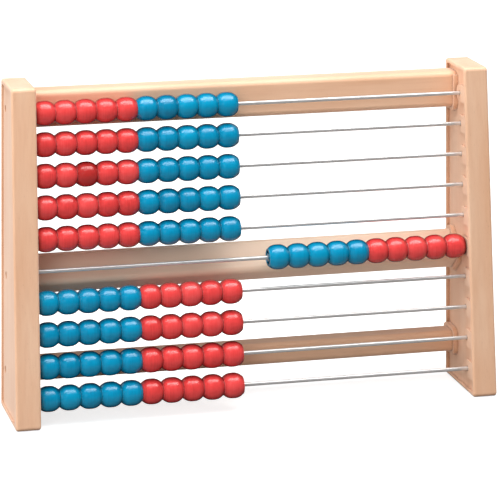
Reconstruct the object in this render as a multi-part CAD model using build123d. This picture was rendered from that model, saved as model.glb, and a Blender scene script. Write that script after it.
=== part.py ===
from build123d import *
import os

os.makedirs("parts", exist_ok=True)

# A counting frame: two moulded side frames joined by three crossbars carry ten steel rods,
# and each rod carries five red and five blue beads. Millimetres. +X runs along the rods,
# +Y to the back, +Z up. The origin is on the table, under the middle of the frame.

# overall frame
FRAME_WIDTH = 324.0
FRAME_HEIGHT = 214.4
BOTTOM_DEPTH = 54.8
TOP_DEPTH = 37.0
SIDE_THICKNESS = 16.4
REAR_Y = BOTTOM_DEPTH / 2
FRONT_LEAN = (BOTTOM_DEPTH - TOP_DEPTH) / FRAME_HEIGHT
OUTER_X = FRAME_WIDTH / 2
INNER_X = OUTER_X - SIDE_THICKNESS

# side frame moulding
CORNER_RADIUS = 2.5
EDGE_RADIUS = 1.6
OUTER_RECESS_DEPTH = 1.2
INNER_RECESS_DEPTH = 1.8
OUTER_FRONT_RIM = 6.2
OUTER_END_RIM = 3.0
INNER_RIM = 2.4
REAR_RIM = 3.5
RECESS_CORNER = 2.0
BOSS_RADIUS = 5.6

# rods and their blind sockets
ROW_COUNT = 10
ROW_PITCH = 20.0
LOWEST_ROW_Z = 16.0
ROD_SETBACK = 10.9
ROD_RADIUS = 1.25
ROD_SOCKET_DEPTH = 8.0
ROD_FIT = 0.05
ROD_END_CHAMFER = 0.3
SOCKET_CHAMFER = 0.5

# beads
BEADS_PER_COLOUR = 5
BEAD_RADIUS = 8.0
BEAD_LENGTH = 13.5
BEAD_GAP = 0.1
BEAD_PITCH = BEAD_LENGTH + BEAD_GAP
BEAD_BORE_RADIUS = ROD_RADIUS + 0.08
BEAD_END_DROP = 2.55
BEAD_CURVE = 2.6
BEAD_EDGE_RADIUS = 0.35
BEAD_HUB_RADIUS = 2.6
BEAD_POCKET_RADIUS = 4.5
BEAD_POCKET_DEPTH = 2.4
BEAD_CURVE_POINTS = 6
STOP_GAP = 0.2

# crossbars: section sizes, distance of the section's middle from the rear face, and height
BAR_DEPTH = 16.0
TOP_BAR_HEIGHT = 24.0
MIDDLE_BAR_HEIGHT = 22.6
LOWER_BAR_HEIGHT = 13.9
BAR_EDGE_RADIUS = 3.5
BAR_SETBACK = 10.2
MIDDLE_BAR_SETBACK = 12.8
MIDDLE_BAR_TILT = 40.0
TOP_BAR_Z = 196.3
MIDDLE_BAR_Z = 88.4
LOWER_BAR_Z = 26.4
SOCKET_DEPTH = 7.0
SOCKET_FIT = 0.1
COLLAR_MARGIN = 2.4
COLLAR_PROUD = 1.3
COLLAR_REAR_MARGIN = 0.8
COLLAR_TOP_MARGIN = 8.0

# screws, one through each side frame into each bar end
SCREW_SHANK_RADIUS = 1.5
SCREW_HEAD_RADIUS = 2.3
SCREW_HEAD_HEIGHT = 1.8
SCREW_LENGTH = 18.0
SCREW_TIP_LENGTH = 2.5
SCREW_TIP_RADIUS = 0.4
SCREW_FLOOR = 2.0
SCREW_FIT = 0.1
PILOT_FIT = 0.03
PILOT_DEPTH = 18.5
CROSS_SLOT_WIDTH = 0.7
CROSS_SLOT_LENGTH = 3.0
CROSS_SLOT_DEPTH = 0.9


def front_y(z):
    """Y of the leaning front face at a height."""
    return -REAR_Y + FRONT_LEAN * z


def row_z(row):
    """Height of a rod; row 1 is the top one."""
    return LOWEST_ROW_Z + (ROW_COUNT - row) * ROW_PITCH


def row_y(row):
    return front_y(row_z(row)) + ROD_SETBACK


def bar_places():
    """Name, height of section, middle Y, middle Z and tilt of each crossbar."""
    return [
        ("top", TOP_BAR_HEIGHT, REAR_Y - BAR_SETBACK, TOP_BAR_Z, 0.0),
        ("middle", MIDDLE_BAR_HEIGHT, REAR_Y - MIDDLE_BAR_SETBACK, MIDDLE_BAR_Z, MIDDLE_BAR_TILT),
        ("lower", LOWER_BAR_HEIGHT, REAR_Y - BAR_SETBACK, LOWER_BAR_Z, 0.0),
    ]


def bar_section(height, y, z, tilt, margin):
    """Rounded section of a crossbar in the YZ plane, grown all round by a margin."""
    section = RectangleRounded(
        BAR_DEPTH + 2 * margin, height + 2 * margin, BAR_EDGE_RADIUS + margin
    )
    return Location((0, y, z), (-tilt, 0, 0)) * (Plane.YZ * section)


def side_profile(front, rear, top, bottom, radius):
    """The side frame's outline in the YZ plane, pulled in by a rim on each side."""
    low_z = bottom
    high_z = FRAME_HEIGHT - top
    outline = Polygon(
        (front_y(low_z) + front, low_z),
        (REAR_Y - rear, low_z),
        (REAR_Y - rear, high_z),
        (front_y(high_z) + front, high_z),
        align=None,
    )
    return Plane.YZ * fillet(outline.vertices(), radius)


def cylinder_x(radius, start_x, end_x, y, z):
    """A cylinder along X between two X values."""
    middle_x = (start_x + end_x) / 2
    rod = Cylinder(radius, abs(end_x - start_x))
    return Pos(middle_x, y, z) * Rot(0, 90, 0) * rod


def cone_x(start_radius, end_radius, start_x, end_x, y, z):
    """A cone along X, its first radius at the lower X value."""
    middle_x = (start_x + end_x) / 2
    cone = Cone(start_radius, end_radius, end_x - start_x)
    return Pos(middle_x, y, z) * Rot(0, 90, 0) * cone


def side_blank():
    """The right side frame before its recesses: a rounded trapezoid plate."""
    plate = extrude(side_profile(0, 0, 0, 0, CORNER_RADIUS), SIDE_THICKNESS)
    plate = Pos(INNER_X, 0, 0) * plate
    faces = plate.faces().sort_by(Axis.X)
    return fillet(faces[0].edges() + faces[-1].edges(), EDGE_RADIUS)


def collar_outline(height, y, z, tilt):
    """The raised collar round a bar socket, kept clear of the rear face and of the top."""
    collar = bar_section(height, y, z, tilt, COLLAR_MARGIN)
    limit = side_profile(INNER_RIM, COLLAR_REAR_MARGIN, COLLAR_TOP_MARGIN, 0, CORNER_RADIUS)
    return collar & limit


def boss_outline(row):
    """The flat boss round a rod's socket, joined to the front rim."""
    bridge = Pos(-ROD_SETBACK / 2, 0) * Rectangle(ROD_SETBACK, 2 * BOSS_RADIUS)
    boss = Circle(BOSS_RADIUS) + bridge
    return Pos(0, row_y(row), row_z(row)) * (Plane.YZ * boss)


def inner_recess():
    """What is taken out of the inner face: the recess, less the bosses and collars."""
    area = side_profile(INNER_RIM, REAR_RIM, INNER_RIM, INNER_RIM, RECESS_CORNER)
    for row in range(1, ROW_COUNT + 1):
        area -= boss_outline(row)
    for name, height, y, z, tilt in bar_places():
        area -= collar_outline(height, y, z, tilt)
    return Pos(INNER_X, 0, 0) * extrude(area, INNER_RECESS_DEPTH)


def outer_recess():
    area = side_profile(OUTER_FRONT_RIM, REAR_RIM, OUTER_END_RIM, OUTER_END_RIM, RECESS_CORNER)
    return Pos(OUTER_X - OUTER_RECESS_DEPTH, 0, 0) * extrude(area, OUTER_RECESS_DEPTH)


def right_side_frame():
    side = side_blank() - outer_recess() - inner_recess()
    for name, height, y, z, tilt in bar_places():
        collar = extrude(collar_outline(height, y, z, tilt), COLLAR_PROUD)
        side += Pos(INNER_X - COLLAR_PROUD, 0, 0) * collar
    for name, height, y, z, tilt in bar_places():
        pocket = extrude(
            bar_section(height, y, z, tilt, SOCKET_FIT), SOCKET_DEPTH + COLLAR_PROUD
        )
        side -= Pos(INNER_X - COLLAR_PROUD, 0, 0) * pocket
        floor_x = INNER_X + SOCKET_DEPTH
        seat_x = floor_x + SCREW_FLOOR
        side -= cylinder_x(SCREW_SHANK_RADIUS + SCREW_FIT, floor_x, seat_x, y, z)
        side -= cylinder_x(SCREW_HEAD_RADIUS + SCREW_FIT, seat_x, OUTER_X, y, z)
    for row in range(1, ROW_COUNT + 1):
        y = row_y(row)
        z = row_z(row)
        radius = ROD_RADIUS + ROD_FIT
        side -= cylinder_x(radius, INNER_X, INNER_X + ROD_SOCKET_DEPTH, y, z)
        side -= cone_x(radius + SOCKET_CHAMFER, radius, INNER_X, INNER_X + SOCKET_CHAMFER, y, z)
    return side


def crossbar(height, y, z, tilt):
    """A bar of rounded section reaching into both sockets, drilled at both ends."""
    half_length = INNER_X + SOCKET_DEPTH
    bar = extrude(bar_section(height, y, z, tilt, 0.0), half_length, both=True)
    pilot_radius = SCREW_SHANK_RADIUS + PILOT_FIT
    for side in (-1, 1):
        end_x = side * half_length
        bar -= cylinder_x(pilot_radius, end_x, end_x - side * PILOT_DEPTH, y, z)
    return bar


def rod(row):
    """A steel rod with chamfered ends, seated in both side frames."""
    half_length = INNER_X + ROD_SOCKET_DEPTH - ROD_END_CHAMFER
    blank = Cylinder(ROD_RADIUS, 2 * half_length)
    ends = blank.edges().filter_by(GeomType.CIRCLE)
    blank = chamfer(ends, ROD_END_CHAMFER)
    return Pos(0, row_y(row), row_z(row)) * Rot(0, 90, 0) * blank


def right_screw(y, z):
    """A pan-head screw through the right side frame, its head facing +X."""
    seat_x = INNER_X + SOCKET_DEPTH + SCREW_FLOOR
    head_x = seat_x + SCREW_HEAD_HEIGHT
    tip_x = seat_x - SCREW_LENGTH
    thread_x = tip_x + SCREW_TIP_LENGTH
    head = cylinder_x(SCREW_HEAD_RADIUS, seat_x, head_x, y, z)
    crown = head.edges().filter_by(GeomType.CIRCLE).sort_by(Axis.X)[-1]
    screw = fillet(crown, SCREW_HEAD_HEIGHT / 3)
    screw += cylinder_x(SCREW_SHANK_RADIUS, thread_x, seat_x, y, z)
    screw += cone_x(SCREW_TIP_RADIUS, SCREW_SHANK_RADIUS, tip_x, thread_x, y, z)
    slot_x = head_x - CROSS_SLOT_DEPTH / 2
    screw -= Pos(slot_x, y, z) * Box(CROSS_SLOT_DEPTH, CROSS_SLOT_LENGTH, CROSS_SLOT_WIDTH)
    screw -= Pos(slot_x, y, z) * Box(CROSS_SLOT_DEPTH, CROSS_SLOT_WIDTH, CROSS_SLOT_LENGTH)
    return screw


def bead_radius_at(x):
    """Outer radius of a bead at a distance from its middle."""
    half = BEAD_LENGTH / 2
    return BEAD_RADIUS - BEAD_END_DROP * (abs(x) / half) ** BEAD_CURVE


def bead():
    """A barrel-shaped bead on the X axis, with a bored hub inside a hollow at each end."""
    half = BEAD_LENGTH / 2
    shoulder = half - BEAD_EDGE_RADIUS
    steps = range(-BEAD_CURVE_POINTS, BEAD_CURVE_POINTS + 1)
    curve_points = [
        (shoulder * step / BEAD_CURVE_POINTS, bead_radius_at(shoulder * step / BEAD_CURVE_POINTS))
        for step in steps
    ]
    end_radius = bead_radius_at(shoulder) - BEAD_EDGE_RADIUS
    floor = half - BEAD_POCKET_DEPTH
    crown = Spline(*curve_points)
    section = crown + Polyline(
        curve_points[-1],
        (half, end_radius),
        (half, BEAD_POCKET_RADIUS),
        (floor, BEAD_POCKET_RADIUS),
        (floor, BEAD_HUB_RADIUS),
        (half, BEAD_HUB_RADIUS),
        (half, BEAD_BORE_RADIUS),
        (-half, BEAD_BORE_RADIUS),
        (-half, BEAD_HUB_RADIUS),
        (-floor, BEAD_HUB_RADIUS),
        (-floor, BEAD_POCKET_RADIUS),
        (-half, BEAD_POCKET_RADIUS),
        (-half, end_radius),
        curve_points[0],
    )
    return revolve(make_face(section), Axis.X, 360)


def bead_group(pattern, row, first_x):
    """Five beads side by side on a row's rod, the first one starting at an X value."""
    beads = []
    for index in range(BEADS_PER_COLOUR):
        middle_x = first_x + BEAD_PITCH * index + BEAD_LENGTH / 2
        beads.append(Pos(middle_x, row_y(row), row_z(row)) * pattern)
    return Compound(children=beads)


def row_order(row):
    """The two colours of a row, from left to right."""
    if row <= ROW_COUNT // 2:
        return ("red", "blue")
    return ("blue", "red")


def row_start(row):
    """Where the left end of a row's first bead stands: one row is pushed to the right."""
    if row == ROW_COUNT // 2 + 1:
        full_length = 2 * BEADS_PER_COLOUR * BEAD_PITCH - BEAD_GAP
        return INNER_X - STOP_GAP - full_length
    return -INNER_X + STOP_GAP


def save(shape, name):
    export_step(shape, os.path.join("parts", name + ".step"))


right_side = right_side_frame()
save(right_side, "right_side_frame")
save(mirror(right_side, about=Plane.YZ), "left_side_frame")

screws = []
for bar_name, bar_height, bar_y, bar_z, bar_tilt in bar_places():
    save(crossbar(bar_height, bar_y, bar_z, bar_tilt), bar_name + "_crossbar")
    screw = right_screw(bar_y, bar_z)
    screws += [screw, mirror(screw, about=Plane.YZ)]
save(Compound(children=screws), "frame_screws")

bead_pattern = bead()
for row in range(1, ROW_COUNT + 1):
    save(rod(row), "rod_" + str(row))
    group_x = row_start(row)
    for colour in row_order(row):
        group = bead_group(bead_pattern, row, group_x)
        save(group, "row_" + str(row) + "_" + colour + "_beads")
        group_x += BEADS_PER_COLOUR * BEAD_PITCH
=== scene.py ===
import bmesh
import bpy
import math
import random
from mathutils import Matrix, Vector


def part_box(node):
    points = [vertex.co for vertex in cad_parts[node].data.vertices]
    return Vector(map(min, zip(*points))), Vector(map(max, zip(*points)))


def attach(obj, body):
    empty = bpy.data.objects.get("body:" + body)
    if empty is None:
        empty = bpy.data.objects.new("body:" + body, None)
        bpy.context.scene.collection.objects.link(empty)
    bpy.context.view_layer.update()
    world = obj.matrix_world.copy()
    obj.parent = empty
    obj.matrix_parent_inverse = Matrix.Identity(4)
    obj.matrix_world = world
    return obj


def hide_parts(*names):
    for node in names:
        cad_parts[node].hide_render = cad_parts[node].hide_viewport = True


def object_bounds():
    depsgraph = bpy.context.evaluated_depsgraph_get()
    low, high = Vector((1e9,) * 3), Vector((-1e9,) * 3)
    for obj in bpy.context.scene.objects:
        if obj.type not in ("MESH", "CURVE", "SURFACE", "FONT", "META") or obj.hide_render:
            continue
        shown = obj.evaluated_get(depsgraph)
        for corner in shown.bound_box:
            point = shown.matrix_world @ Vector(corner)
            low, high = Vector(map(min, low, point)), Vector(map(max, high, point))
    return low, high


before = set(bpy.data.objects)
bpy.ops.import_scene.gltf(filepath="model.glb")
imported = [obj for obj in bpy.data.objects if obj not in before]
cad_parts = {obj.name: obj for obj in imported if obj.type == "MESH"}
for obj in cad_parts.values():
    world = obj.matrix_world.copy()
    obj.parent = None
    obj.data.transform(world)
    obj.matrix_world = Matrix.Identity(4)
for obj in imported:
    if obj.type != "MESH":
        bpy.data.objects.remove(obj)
cad_low, cad_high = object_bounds()

# An abacus: a moulded frame with ten steel rods, and a hundred beads that slide on them.
# Metres, +Z up, X runs along the rods, and the camera stands on the -Y side.

MM = 0.001

# ---------------------------------------------------------------- sizes

ROW_COUNT = 10
BEADS_PER_GROUP = 5
BEAD_GAP = 0.1 * MM              # between neighbouring beads of one group
BEAD_END_DROP = 2.55 * MM        # how much smaller a bead is at its ends than in its middle
BEAD_ROUNDNESS = 2.6             # exponent of the bead's outline
BEAD_RIM_RADIUS = 0.35 * MM      # rounding of the rim at each end
BEAD_POCKET_RADIUS = 4.5 * MM    # ring-shaped hollow in each end, round a hub
BEAD_POCKET_DEPTH = 2.4 * MM
BEAD_HUB_RADIUS = 2.6 * MM
BEAD_BORE_RADIUS = 1.33 * MM
BEAD_RIB_COUNT = 6               # thin ribs that join the hub to the wall inside the hollow
BEAD_RIB_TOP = 0.8 * MM          # depth of a rib's top below the bead's end
BEAD_RIB_HALF_ANGLE = math.radians(5.0)
BEAD_RIB_DRAFT = math.radians(1.6)
BEAD_LIP_RADIUS = 0.25 * MM      # rounding where the hollow and the bore meet the bead's end
BEAD_WALL_DRAFT = 0.15 * MM      # how far a wall of the hollow leans in on its way down
BEAD_FLOOR_MARGIN = 0.4 * MM     # from a wall's top to where the hollow's floor starts
WALL_DEPTH_SHARES = (0.25, 0.6, 0.92)    # depths of the wall's points, as shares of the hollow's
BORE_SHARE = 0.4                 # where each half of the bore has its point, as a share of half a bead
BEAD_HALF_OUTLINE_STEPS = 15
BEAD_STEPS_BETWEEN_RIBS = 6
SHARP_ANGLE = math.radians(38)   # edges sharper than this are not shaded smooth

DICE_SEED = 7
BEAD_TONE_SPREAD = 0.15          # of the normal draw that makes each bead's own tone
BEAD_TONE_LIMIT = 0.5            # keeps drawn tones off the darkest and the lightest pigment
BEAD_SWIRL_RANGE = 40.0          # how far apart two beads' pigment patterns can lie in the noise
BROWNED_BEAD_TONE = -1.4         # the third red bead of row 3, browner than any drawn tone


def srgb(red, green, blue):
    """A linear colour from 0-255 display values."""
    linear = []
    for value in (red, green, blue):
        v = value / 255.0
        linear.append(v / 12.92 if v <= 0.04045 else ((v + 0.055) / 1.055) ** 2.4)
    return (*linear, 1.0)


# ---------------------------------------------------------------- node trees


class Tree:
    """Short calls for building one material's nodes."""

    def __init__(self, name):
        self.material = bpy.data.materials.new(name)
        self.material.use_nodes = True
        self.nodes = self.material.node_tree.nodes
        self.links = self.material.node_tree.links
        self.nodes.clear()

    def node(self, kind, inputs=None, **settings):
        made = self.nodes.new(kind)
        for key, value in settings.items():
            setattr(made, key, value)
        for key, value in (inputs or {}).items():
            self.put(made.inputs[key], value)
        return made

    def put(self, socket, value):
        if isinstance(value, bpy.types.NodeSocket):
            self.links.new(value, socket)
        else:
            socket.default_value = value

    def math(self, operation, a, b=0.0, clamp=False):
        made = self.node("ShaderNodeMath", {0: a, 1: b}, operation=operation)
        made.use_clamp = clamp
        return made.outputs[0]

    def scaled(self, vector, scale):
        return self.node("ShaderNodeVectorMath", {0: vector, 1: scale}, operation="MULTIPLY").outputs[0]

    def noise(self, vector, scale=1.0, detail=3.0, roughness=0.55, w=None):
        inputs = {"Vector": vector, "Scale": scale, "Detail": detail, "Roughness": roughness}
        if w is None:
            return self.node("ShaderNodeTexNoise", inputs).outputs["Fac"]
        inputs["W"] = w
        return self.node("ShaderNodeTexNoise", inputs, noise_dimensions="4D").outputs["Fac"]

    def remap(self, value, low, high, new_low=0.0, new_high=1.0, smooth=False):
        kind = "SMOOTHSTEP" if smooth else "LINEAR"
        inputs = {"Value": value, "From Min": low, "From Max": high, "To Min": new_low, "To Max": new_high}
        return self.node("ShaderNodeMapRange", inputs, interpolation_type=kind).outputs[0]

    def mix(self, factor, a, b, blend="MIX"):
        made = self.node("ShaderNodeMix", data_type="RGBA", blend_type=blend)
        self.put(made.inputs["Factor"], factor)
        self.put(made.inputs[6], a)
        self.put(made.inputs[7], b)
        return made.outputs[2]

    def bump(self, height, distance, strength=1.0, under=None):
        inputs = {"Height": height, "Distance": distance, "Strength": strength}
        if under is not None:
            inputs["Normal"] = under
        return self.node("ShaderNodeBump", inputs).outputs["Normal"]

    def finish(self, shader):
        output = self.node("ShaderNodeOutputMaterial")
        self.links.new(shader, output.inputs["Surface"])
        return self.material


# ---------------------------------------------------------------- materials

COMPOSITE_LIGHT = srgb(246, 204, 172)
COMPOSITE_MID = srgb(239, 189, 153)
COMPOSITE_DARK = srgb(218, 162, 124)
COMPOSITE_FLECK_AND_SHADE = srgb(150, 98, 68)
COMPOSITE_PAINTED_LIGHT = srgb(255, 228, 204)
COMPOSITE_EDGE_REACH = 1.3 * MM          # how far from an edge the rubbed wear and the painted edge highlight reach
COMPOSITE_SHADE_AND_GRIME_REACH = 3.5 * MM         # corners closer than this are painted darker: painted shade, with a little grime
COMPOSITE_CLOUD_RELIEF = 0.12 * MM
COMPOSITE_STREAK_RELIEF = 0.03 * MM
COMPOSITE_GRIT_RELIEF = 0.02 * MM
MIDDLE_BAR_PAINTED_LIGHT = 0.75               # makes up for the dim light that the middle bar gets


def stretched(tree, place, grain, along, across):
    """Noise coordinates for marks that run along one axis: scales per metre, along it and across it."""
    return tree.scaled(place, tuple(along if axis == grain else across for axis in "XYZ"))


def composite(name, grain, painted_light=0.0):
    """Wood-fibre moulding compound: beige, with flow streaks and short fibres along the long axis."""
    t = Tree(name)
    place = t.node("ShaderNodeTexCoord").outputs["Object"]
    streaks = t.noise(stretched(t, place, grain, 26.0, 620.0), 1.0, 4.0, 0.6)
    broad = t.noise(stretched(t, place, grain, 9.0, 90.0), 1.0, 3.0, 0.5)
    fibres = t.noise(stretched(t, place, grain, 260.0, 2600.0), 1.0, 2.0, 0.5)
    clouds = t.noise(place, 22.0, 3.0, 0.5)
    grit = t.noise(place, 2400.0, 2.0, 0.6)

    colour = t.mix(t.remap(broad, 0.3, 0.7), COMPOSITE_MID, COMPOSITE_LIGHT)
    colour = t.mix(t.remap(streaks, 0.45, 0.75, 0.0, 0.22), colour, COMPOSITE_DARK)
    colour = t.mix(t.remap(clouds, 0.4, 0.75, 0.0, 0.16), colour, COMPOSITE_DARK)
    colour = t.mix(t.remap(fibres, 0.66, 0.80, 0.0, 0.30), colour, COMPOSITE_FLECK_AND_SHADE)

    # painted light: the whole surface is lightened towards a pale colour by this share, which stands in for
    # more light than the bar gets
    colour = t.mix(painted_light, colour, COMPOSITE_PAINTED_LIGHT)

    rounded = t.node("ShaderNodeBevel", {"Radius": COMPOSITE_EDGE_REACH}, samples=4).outputs["Normal"]
    flat = t.node("ShaderNodeNewGeometry").outputs["Normal"]
    facing = t.node("ShaderNodeVectorMath", {0: rounded, 1: flat}, operation="DOT_PRODUCT").outputs["Value"]
    edge = t.remap(facing, 0.985, 0.86, 0.0, 1.0, smooth=True)
    # wear and painted highlight: rounded edges are lightened towards the light colour, partly real rubbing,
    # partly a painted edge highlight
    edge_wear_and_highlight = t.math("MULTIPLY", edge, t.remap(t.noise(place, 130.0, 4.0, 0.65), 0.42, 0.62))
    colour = t.mix(t.math("MULTIPLY", edge_wear_and_highlight, 0.45), colour, COMPOSITE_LIGHT)

    # painted shade: corners and recesses are darkened towards the fleck colour by how occluded they are,
    # with a little grime
    reach = {"Distance": COMPOSITE_SHADE_AND_GRIME_REACH}
    hollow = t.node("ShaderNodeAmbientOcclusion", reach, samples=4).outputs["AO"]
    painted_shade_and_grime = t.remap(hollow, 0.75, 0.25, 0.0, 0.75)
    colour = t.mix(painted_shade_and_grime, colour, COMPOSITE_FLECK_AND_SHADE)

    rough = t.remap(streaks, 0.3, 0.8, 0.40, 0.52)
    rough = t.math("ADD", rough, t.remap(grit, 0.3, 0.7, -0.03, 0.03))
    rough = t.math("SUBTRACT", rough, t.math("MULTIPLY", edge_wear_and_highlight, 0.10))

    normal = t.bump(clouds, COMPOSITE_CLOUD_RELIEF, 0.5)
    normal = t.bump(streaks, COMPOSITE_STREAK_RELIEF, 0.5, normal)
    normal = t.bump(grit, COMPOSITE_GRIT_RELIEF, 0.4, normal)
    shader = t.node("ShaderNodeBsdfPrincipled", {
        "Base Color": colour,
        "Roughness": rough,
        "IOR": 1.48,
        "Sheen Weight": 0.5,
        "Sheen Roughness": 0.4,
        "Normal": normal,
    })
    return t.finish(shader.outputs[0])


BEAD_RUB_START = 6.1 * MM        # from a bead's middle, where rubbing on its neighbour begins to show
BEAD_RUB_FULL = 6.6 * MM
# gaps between beads closer than this get painted shade
BEAD_SHADE_REACH = 4.0 * MM
BEAD_CLOUD_RELIEF = 0.025 * MM
BEAD_RING_RELIEF = 0.004 * MM
BEAD_SCRATCH_RELIEF = 0.001 * MM


def bead_plastic(name, light, mid, dark, painted_shade, worn):
    """Glossy bead: pigment streaks run round the bead, and each bead has its own tone.

    It is darkened towards a shade colour in the gaps between beads, which is painted shade, and where
    its surface turns away from the viewer, which is a painted dark rim. The second is a matter of looks and
    depends on where it is seen from.
    """
    t = Tree(name)
    local = t.node("ShaderNodeAttribute", attribute_name="bead_place").outputs["Vector"]
    tone = t.node("ShaderNodeAttribute", attribute_name="tone", attribute_type="OBJECT").outputs["Fac"]
    swirl = t.node("ShaderNodeAttribute", attribute_name="swirl", attribute_type="OBJECT").outputs["Fac"]
    rings = t.noise(t.scaled(local, (2300.0, 90.0, 90.0)), 1.0, 3.0, 0.6, w=swirl)
    clouds = t.noise(local, 190.0, 3.0, 0.5, w=swirl)
    smudge = t.noise(local, 420.0, 4.0, 0.6, w=swirl)
    scratch = t.noise(t.scaled(local, (9000.0, 500.0, 500.0)), 1.0, 2.0, 0.5, w=swirl)

    shade = t.math("ADD", t.math("MULTIPLY", tone, 0.5), 0.5)
    shade = t.math("ADD", shade, t.remap(rings, 0.3, 0.7, -0.12, 0.12))
    shade = t.math("ADD", shade, t.remap(clouds, 0.3, 0.7, -0.10, 0.10), clamp=True)
    colour = t.mix(t.remap(shade, 0.0, 0.5), dark, mid)
    colour = t.mix(t.remap(shade, 0.5, 1.0), colour, light)

    along = t.node("ShaderNodeSeparateXYZ", {0: local}).outputs[0]
    near_end = t.remap(t.math("ABSOLUTE", along), BEAD_RUB_START, BEAD_RUB_FULL, smooth=True)
    rub = t.math("MULTIPLY", near_end, t.remap(smudge, 0.40, 0.60))
    colour = t.mix(t.math("MULTIPLY", rub, 0.35), colour, worn)

    # painted shade in the gaps between beads, from how occluded they are
    reach = {"Distance": BEAD_SHADE_REACH}
    crevice_shade = t.node("ShaderNodeAmbientOcclusion", reach, samples=4).outputs["AO"]
    colour = t.mix(t.remap(crevice_shade, 0.80, 0.20, 0.0, 0.80), colour, painted_shade)
    # painted dark rim: the surface darkens where it turns away from the viewer
    turned_away_shade = t.node("ShaderNodeLayerWeight", {"Blend": 0.5}).outputs["Facing"]
    colour = t.mix(t.remap(turned_away_shade, 0.25, 0.85, 0.0, 0.90), colour, painted_shade)

    rough = t.remap(smudge, 0.3, 0.7, 0.20, 0.27)
    rough = t.math("ADD", rough, t.math("MULTIPLY", rub, 0.20))
    normal = t.bump(clouds, BEAD_CLOUD_RELIEF, 0.5)
    normal = t.bump(rings, BEAD_RING_RELIEF, 0.4, normal)
    normal = t.bump(scratch, BEAD_SCRATCH_RELIEF, 0.5, normal)
    shader = t.node("ShaderNodeBsdfPrincipled", {
        "Base Color": colour,
        "Roughness": rough,
        "IOR": 1.5,
        "Coat Weight": 0.20,
        "Coat Roughness": 0.12,
        "Normal": normal,
    })
    return t.finish(shader.outputs[0])


WIRE_RELIEF = 0.006 * MM
SCREW_RELIEF = 0.02 * MM


def drawn_steel(name):
    """Bright drawn wire: fine lines along X, a few rubbed places. Half metallic, which keeps it pale."""
    t = Tree(name)
    place = t.node("ShaderNodeTexCoord").outputs["Object"]
    lines = t.noise(t.scaled(place, (60.0, 7000.0, 7000.0)), 1.0, 3.0, 0.6)
    rubs = t.noise(t.scaled(place, (140.0, 300.0, 300.0)), 1.0, 3.0, 0.55)
    colour = t.mix(t.remap(lines, 0.3, 0.7), srgb(214, 213, 212), srgb(244, 243, 242))
    colour = t.mix(t.remap(rubs, 0.5, 0.8, 0.0, 0.35), colour, srgb(184, 180, 176))
    rough = t.math("ADD", t.remap(lines, 0.3, 0.7, 0.26, 0.34), t.remap(rubs, 0.4, 0.8, 0.0, 0.08))
    normal = t.bump(lines, WIRE_RELIEF, 0.5)
    shader = t.node("ShaderNodeBsdfPrincipled", {
        "Base Color": colour,
        "Metallic": 0.5,
        "Roughness": rough,
        "Normal": normal,
    })
    return t.finish(shader.outputs[0])


def screw_steel(name):
    """Dark oiled screw steel, a little brighter where a driver has rubbed it."""
    t = Tree(name)
    place = t.node("ShaderNodeTexCoord").outputs["Object"]
    patches = t.noise(place, 900.0, 4.0, 0.6)
    colour = t.mix(t.remap(patches, 0.35, 0.7), srgb(62, 60, 60), srgb(120, 116, 112))
    rough = t.remap(patches, 0.3, 0.7, 0.32, 0.52)
    shader = t.node("ShaderNodeBsdfPrincipled", {
        "Base Color": colour,
        "Metallic": 1.0,
        "Roughness": rough,
        "Normal": t.bump(patches, SCREW_RELIEF, 0.4),
    })
    return t.finish(shader.outputs[0])


# ---------------------------------------------------------------- beads


def bead_angles():
    """Angles round a bead, crowded at the sides of each rib: (angle, share of a rib's height)."""
    sector = 2 * math.pi / BEAD_RIB_COUNT
    edge = BEAD_RIB_HALF_ANGLE + BEAD_RIB_DRAFT
    angles = []
    for rib in range(BEAD_RIB_COUNT):
        centre = rib * sector
        angles.append((centre - edge, 0.0))
        angles.append((centre - BEAD_RIB_HALF_ANGLE, 1.0))
        angles.append((centre + BEAD_RIB_HALF_ANGLE, 1.0))
        angles.append((centre + edge, 0.0))
        for step in range(1, BEAD_STEPS_BETWEEN_RIBS):
            share = step / BEAD_STEPS_BETWEEN_RIBS
            angles.append((centre + edge + share * (sector - 2 * edge), 0.0))
    return angles


def bead_radius_at(x, half, radius):
    return radius - BEAD_END_DROP * abs(x / half) ** BEAD_ROUNDNESS


def arc(centre_x, centre_r, size, start, end, steps):
    """Points of a small rounding in the bead's outline, angles in degrees from +x."""
    points = []
    for step in range(steps + 1):
        angle = math.radians(start + (end - start) * step / steps)
        points.append((centre_x + size * math.cos(angle), centre_r + size * math.sin(angle)))
    return points


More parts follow.
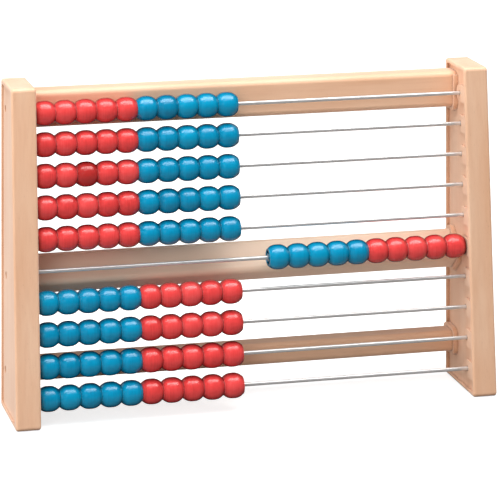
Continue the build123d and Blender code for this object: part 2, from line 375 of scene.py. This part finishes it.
def bead_half_outline(half, radius):
    """Outline of the bead's +x half from its middle round to its bore.

    Each point is (x, r, depth): depth is how far the point lies down in the ring-shaped hollow, so
    that a rib can lift it. It is None where ribs change nothing.
    """
    points = []
    shoulder = half - BEAD_RIM_RADIUS
    for step in range(BEAD_HALF_OUTLINE_STEPS):
        share = step / BEAD_HALF_OUTLINE_STEPS
        x = shoulder * math.sin(share * math.pi / 2)
        points.append((x, bead_radius_at(x, half, radius), None))
    shoulder_r = bead_radius_at(shoulder, half, radius) - BEAD_RIM_RADIUS
    for x, r in arc(shoulder, shoulder_r, BEAD_RIM_RADIUS, 62, 0, 5):
        points.append((x, r, None))
    lip = BEAD_LIP_RADIUS
    for x, r in arc(half - lip, BEAD_POCKET_RADIUS + lip, lip, 0, -90, 3):
        points.append((x, r, None))
    for share in WALL_DEPTH_SHARES:
        points.append((half, BEAD_POCKET_RADIUS - BEAD_WALL_DRAFT * share, share))
    points.append((half, BEAD_POCKET_RADIUS - BEAD_FLOOR_MARGIN, 1.0))
    points.append((half, (BEAD_POCKET_RADIUS + BEAD_HUB_RADIUS) / 2, 1.0))
    points.append((half, BEAD_HUB_RADIUS + BEAD_FLOOR_MARGIN, 1.0))
    for share in reversed(WALL_DEPTH_SHARES):
        points.append((half, BEAD_HUB_RADIUS + BEAD_WALL_DRAFT * share, share))
    for x, r in arc(half - lip, BEAD_HUB_RADIUS - lip, lip, 90, 0, 3):
        points.append((x, r, None))
    for x, r in arc(half - lip, BEAD_BORE_RADIUS + lip, lip, 0, -90, 3):
        points.append((x, r, None))
    points.append((half * BORE_SHARE, BEAD_BORE_RADIUS, None))
    return points


def bead_mesh(name, half, radius, material):
    """One moulded bead round the X axis: a closed shell with a bore, a hollow with ribs in each end."""
    front = bead_half_outline(half, radius)
    outline = [(x, r, depth, 1.0) for x, r, depth in front]
    outline += [(-x, r, depth, -1.0) for x, r, depth in reversed(front[1:])]
    lip = BEAD_LIP_RADIUS
    mesh = bmesh.new()
    place = mesh.verts.layers.float_vector.new("bead_place")
    columns = []
    for angle, rib in bead_angles():
        column = []
        floor = BEAD_POCKET_DEPTH + (BEAD_RIB_TOP - BEAD_POCKET_DEPTH) * rib
        for x, r, depth, side in outline:
            if depth is not None:
                x = side * (half - lip - (floor - lip) * depth)
            vertex = mesh.verts.new((x, r * math.cos(angle), r * math.sin(angle)))
            vertex[place] = vertex.co
            column.append(vertex)
        columns.append(column)
    for index, column in enumerate(columns):
        following = columns[(index + 1) % len(columns)]
        for row in range(len(column)):
            after = (row + 1) % len(column)
            face = mesh.faces.new((column[row], following[row], following[after], column[after]))
            face.smooth = True
    bmesh.ops.recalc_face_normals(mesh, faces=mesh.faces)
    data = bpy.data.meshes.new(name)
    mesh.to_mesh(data)
    mesh.free()
    data.set_sharp_from_angle(angle=SHARP_ANGLE)
    data.materials.append(material)
    return data


def place_beads(node, colour_name, slot, material, meshes, dice):
    """Five beads where the CAD group holds its five, each its own piece on the group's body."""
    low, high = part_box(node)
    radius = (high.z - low.z) / 2
    pitch = (high.x - low.x + BEAD_GAP) / BEADS_PER_GROUP
    half = (pitch - BEAD_GAP) / 2
    if slot not in meshes:
        meshes[slot] = bead_mesh(colour_name + "_bead", half, radius, material)
    body = node.rsplit("_", 1)[0]
    centre = (low + high) / 2
    made = []
    for index in range(BEADS_PER_GROUP):
        bead = bpy.data.objects.new(f"{body}_bead_{index + 1}", meshes[slot])
        bpy.context.scene.collection.objects.link(bead)
        bead.location = (low.x + half + pitch * index, centre.y, centre.z)
        bead.rotation_euler = (dice.uniform(0.0, 2 * math.pi), 0.0, 0.0)
        tone = dice.gauss(0.0, BEAD_TONE_SPREAD)
        bead["tone"] = max(-BEAD_TONE_LIMIT, min(BEAD_TONE_LIMIT, tone))
        bead["swirl"] = dice.uniform(0.0, BEAD_SWIRL_RANGE)
        made.append(bead)
    bpy.context.view_layer.update()
    for bead in made:
        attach(bead, body)
    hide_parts(node)
    return made


# ---------------------------------------------------------------- the object

side_composite = composite("side_frame_composite", "Z")
bar_composite = composite("crossbar_composite", "X")
# the middle bar's copy has painted light, the same compound made paler
painted_lit_bar_composite = composite("middle_crossbar_painted_light_composite", "X", MIDDLE_BAR_PAINTED_LIGHT)
rod_wire = drawn_steel("drawn_rod_steel")
screw_metal = screw_steel("dark_screw_steel")
red = bead_plastic("red_bead_gloss", srgb(246, 96, 95), srgb(236, 70, 70), srgb(186, 48, 46),
                   srgb(100, 6, 12), srgb(240, 134, 132))
blue = bead_plastic("blue_bead_gloss", srgb(0, 164, 206), srgb(0, 146, 190), srgb(0, 106, 144),
                    srgb(0, 44, 66), srgb(60, 172, 206))


def dress(node, material):
    """Gives every material slot of a CAD node this material."""
    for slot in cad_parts[node].material_slots:
        slot.material = material


for side in ("left", "right"):
    dress(side + "_side_frame", side_composite)
for bar in ("top", "lower"):
    dress(bar + "_crossbar", bar_composite)
dress("middle_crossbar", painted_lit_bar_composite)
for row in range(1, ROW_COUNT + 1):
    dress(f"rod_{row}", rod_wire)
dress("frame_screws", screw_metal)

dice = random.Random(DICE_SEED)
bead_meshes = {}
beads = {}
for row in range(1, ROW_COUNT + 1):
    for colour_name, material in (("red", red), ("blue", blue)):
        node = f"row_{row}_{colour_name}_beads"
        slot = colour_name + "_bead_plastic"
        beads[node] = place_beads(node, colour_name, slot, material, bead_meshes, dice)
beads["row_3_red_beads"][2]["tone"] = BROWNED_BEAD_TONE

# ---------------------------------------------------------------- the studio


FLOOR_RADIUS = 40.0              # metres
FLOOR_DROP = 0.2 * MM            # below the feet
FLOOR_GLOW_NEAR = 0.35           # metres from the middle, where the floor starts to brighten
FLOOR_GLOW_FAR = 1.6             # metres from the middle, where it is as bright as it gets


def studio_floor():
    """A wide pale floor just under the feet. It looks near white, but throws little light back up."""
    t = Tree("pale_floor")
    place = t.node("ShaderNodeTexCoord").outputs["Object"]
    cloud = t.noise(place, 3.0, 3.0, 0.5)
    seen = t.mix(t.remap(cloud, 0.3, 0.7), (0.60, 0.60, 0.60, 1.0), (0.64, 0.64, 0.64, 1.0))
    rays = t.node("ShaderNodeLightPath")
    path = rays.outputs["Is Camera Ray"]
    thrown = t.mix(rays.outputs["Is Glossy Ray"], (0.30, 0.29, 0.28, 1.0), (0.12, 0.12, 0.12, 1.0))
    colour = t.mix(path, thrown, seen)
    reach = t.node("ShaderNodeVectorMath", {0: place}, operation="LENGTH").outputs["Value"]
    brightening = t.remap(reach, FLOOR_GLOW_NEAR, FLOOR_GLOW_FAR, 0.74, 1.02, smooth=True)
    glow = t.math("MULTIPLY", path, brightening)
    shader = t.node("ShaderNodeBsdfPrincipled", {
        "Base Color": colour,
        "Roughness": 0.75,
        "Specular IOR Level": 0.1,
        "Emission Color": (1.0, 1.0, 1.0, 1.0),
        "Emission Strength": glow,
    })
    material = t.finish(shader.outputs[0])
    mesh = bmesh.new()
    bmesh.ops.create_circle(mesh, cap_ends=True, radius=FLOOR_RADIUS, segments=128)
    data = bpy.data.meshes.new("studio_floor")
    mesh.to_mesh(data)
    mesh.free()
    data.materials.append(material)
    floor = bpy.data.objects.new("studio_floor", data)
    floor.location = (0.0, 0.0, -FLOOR_DROP)
    bpy.context.scene.collection.objects.link(floor)


def soft_light(name, location, target, width, depth, power, mirrored=True):
    """A rectangular softbox aimed at a point: sizes in metres, power in watts.

    The camera doesn't see it. Glossy surfaces show it only if it is mirrored.
    """
    data = bpy.data.lights.new(name, "AREA")
    data.shape = "RECTANGLE"
    data.size = width
    data.size_y = depth
    data.energy = power
    lamp = bpy.data.objects.new(name, data)
    lamp.location = location
    aim = Vector(target) - Vector(location)
    lamp.rotation_mode = "QUATERNION"
    lamp.rotation_quaternion = aim.to_track_quat("-Z", "Y")
    lamp.visible_camera = False
    lamp.visible_glossy = mirrored
    bpy.context.scene.collection.objects.link(lamp)


WORLD_SEEN = 1.1                 # strength of the background the camera sees
WORLD_SKY = 0.30                 # strength of the sky that lights the object


def studio_world():
    """White behind the object for the camera, a dimmer soft sky for the light itself.

    Reflections don't show the sky.
    """
    world = bpy.data.worlds.new("studio_world")
    bpy.context.scene.world = world
    world.cycles_visibility.glossy = False
    world.use_nodes = True
    nodes = world.node_tree.nodes
    links = world.node_tree.links
    nodes.clear()
    path = nodes.new("ShaderNodeLightPath")
    mix = nodes.new("ShaderNodeMixShader")
    seen = nodes.new("ShaderNodeBackground")
    seen.inputs["Color"].default_value = (1.0, 1.0, 1.0, 1.0)
    seen.inputs["Strength"].default_value = WORLD_SEEN
    sky = nodes.new("ShaderNodeBackground")
    sky.inputs["Color"].default_value = (1.0, 0.98, 0.96, 1.0)
    sky.inputs["Strength"].default_value = WORLD_SKY
    output = nodes.new("ShaderNodeOutputWorld")
    links.new(path.outputs["Is Camera Ray"], mix.inputs["Fac"])
    links.new(sky.outputs[0], mix.inputs[1])
    links.new(seen.outputs[0], mix.inputs[2])
    links.new(mix.outputs[0], output.inputs["Surface"])


studio_floor()
studio_world()
middle = (cad_low + cad_high) / 2
# name, place, aim, width, depth, power
soft_light("overhead_strip", (0.0, -0.16, 1.3), middle, 1.8, 0.6, 20.0)
soft_light("front_top_softbox", (0.2, -0.62, 1.25), middle, 1.4, 0.3, 4.0)
soft_light("left_softbox", (-1.4, -0.2, 0.35), middle, 0.8, 0.6, 8.0, mirrored=False)
soft_light("front_left_fill", (-1.0, -1.3, 0.7), middle, 0.8, 0.8, 6.0, mirrored=False)
soft_light("back_left_softbox", (-1.1, 1.1, 0.6), middle, 0.9, 0.9, 4.0)

# ---------------------------------------------------------------- camera

CAMERA_PLACE = Vector((-0.4721, -1.6499, 0.5735))
CAMERA_HEADING = math.radians(12.43)     # to the right of straight ahead; the camera is held level
CAMERA_LENS = 187.2                      # millimetres on a 36 mm wide sensor
CAMERA_SHIFT = {"shift_x": 0.321, "shift_y": -1.44}   # in frame widths
SHIFT_REACH = 20.0 * MM                  # how far along X the shift holds


def shift_at_this_place_only(camera, path, value):
    """Drives a lens shift from the camera's own place, so the shift is dropped when the camera moves."""
    curve = camera.data.driver_add(path)
    for modifier in list(curve.modifiers):
        curve.modifiers.remove(modifier)
    driver = curve.driver
    driver.type = "SUM"
    variable = driver.variables.new()
    variable.name = "place"
    variable.type = "TRANSFORMS"
    variable.targets[0].id = camera
    variable.targets[0].transform_type = "LOC_X"
    variable.targets[0].transform_space = "WORLD_SPACE"
    here = camera.location.x
    steps = ((here - 2 * SHIFT_REACH, 0.0), (here - SHIFT_REACH, value), (here + SHIFT_REACH, 0.0))
    for at, shift in steps:
        curve.keyframe_points.insert(at, shift)
    for key in curve.keyframe_points:
        key.interpolation = "CONSTANT"


def photo_camera():
    """The upright-corrected view of the photograph: a level camera whose lens is shifted down and aside."""
    data = bpy.data.cameras.new("camera")
    data.sensor_width = 36.0
    data.lens = CAMERA_LENS
    data.clip_start = 0.05
    data.clip_end = 200.0
    camera = bpy.data.objects.new("camera", data)
    camera.location = CAMERA_PLACE
    camera.rotation_euler = (math.radians(90), 0.0, -CAMERA_HEADING)
    bpy.context.scene.collection.objects.link(camera)
    for path, value in CAMERA_SHIFT.items():
        shift_at_this_place_only(camera, path, value)
    bpy.context.scene.camera = camera


photo_camera()
bpy.context.scene.view_settings.view_transform = "Standard"
bpy.context.scene.view_settings.look = "None"
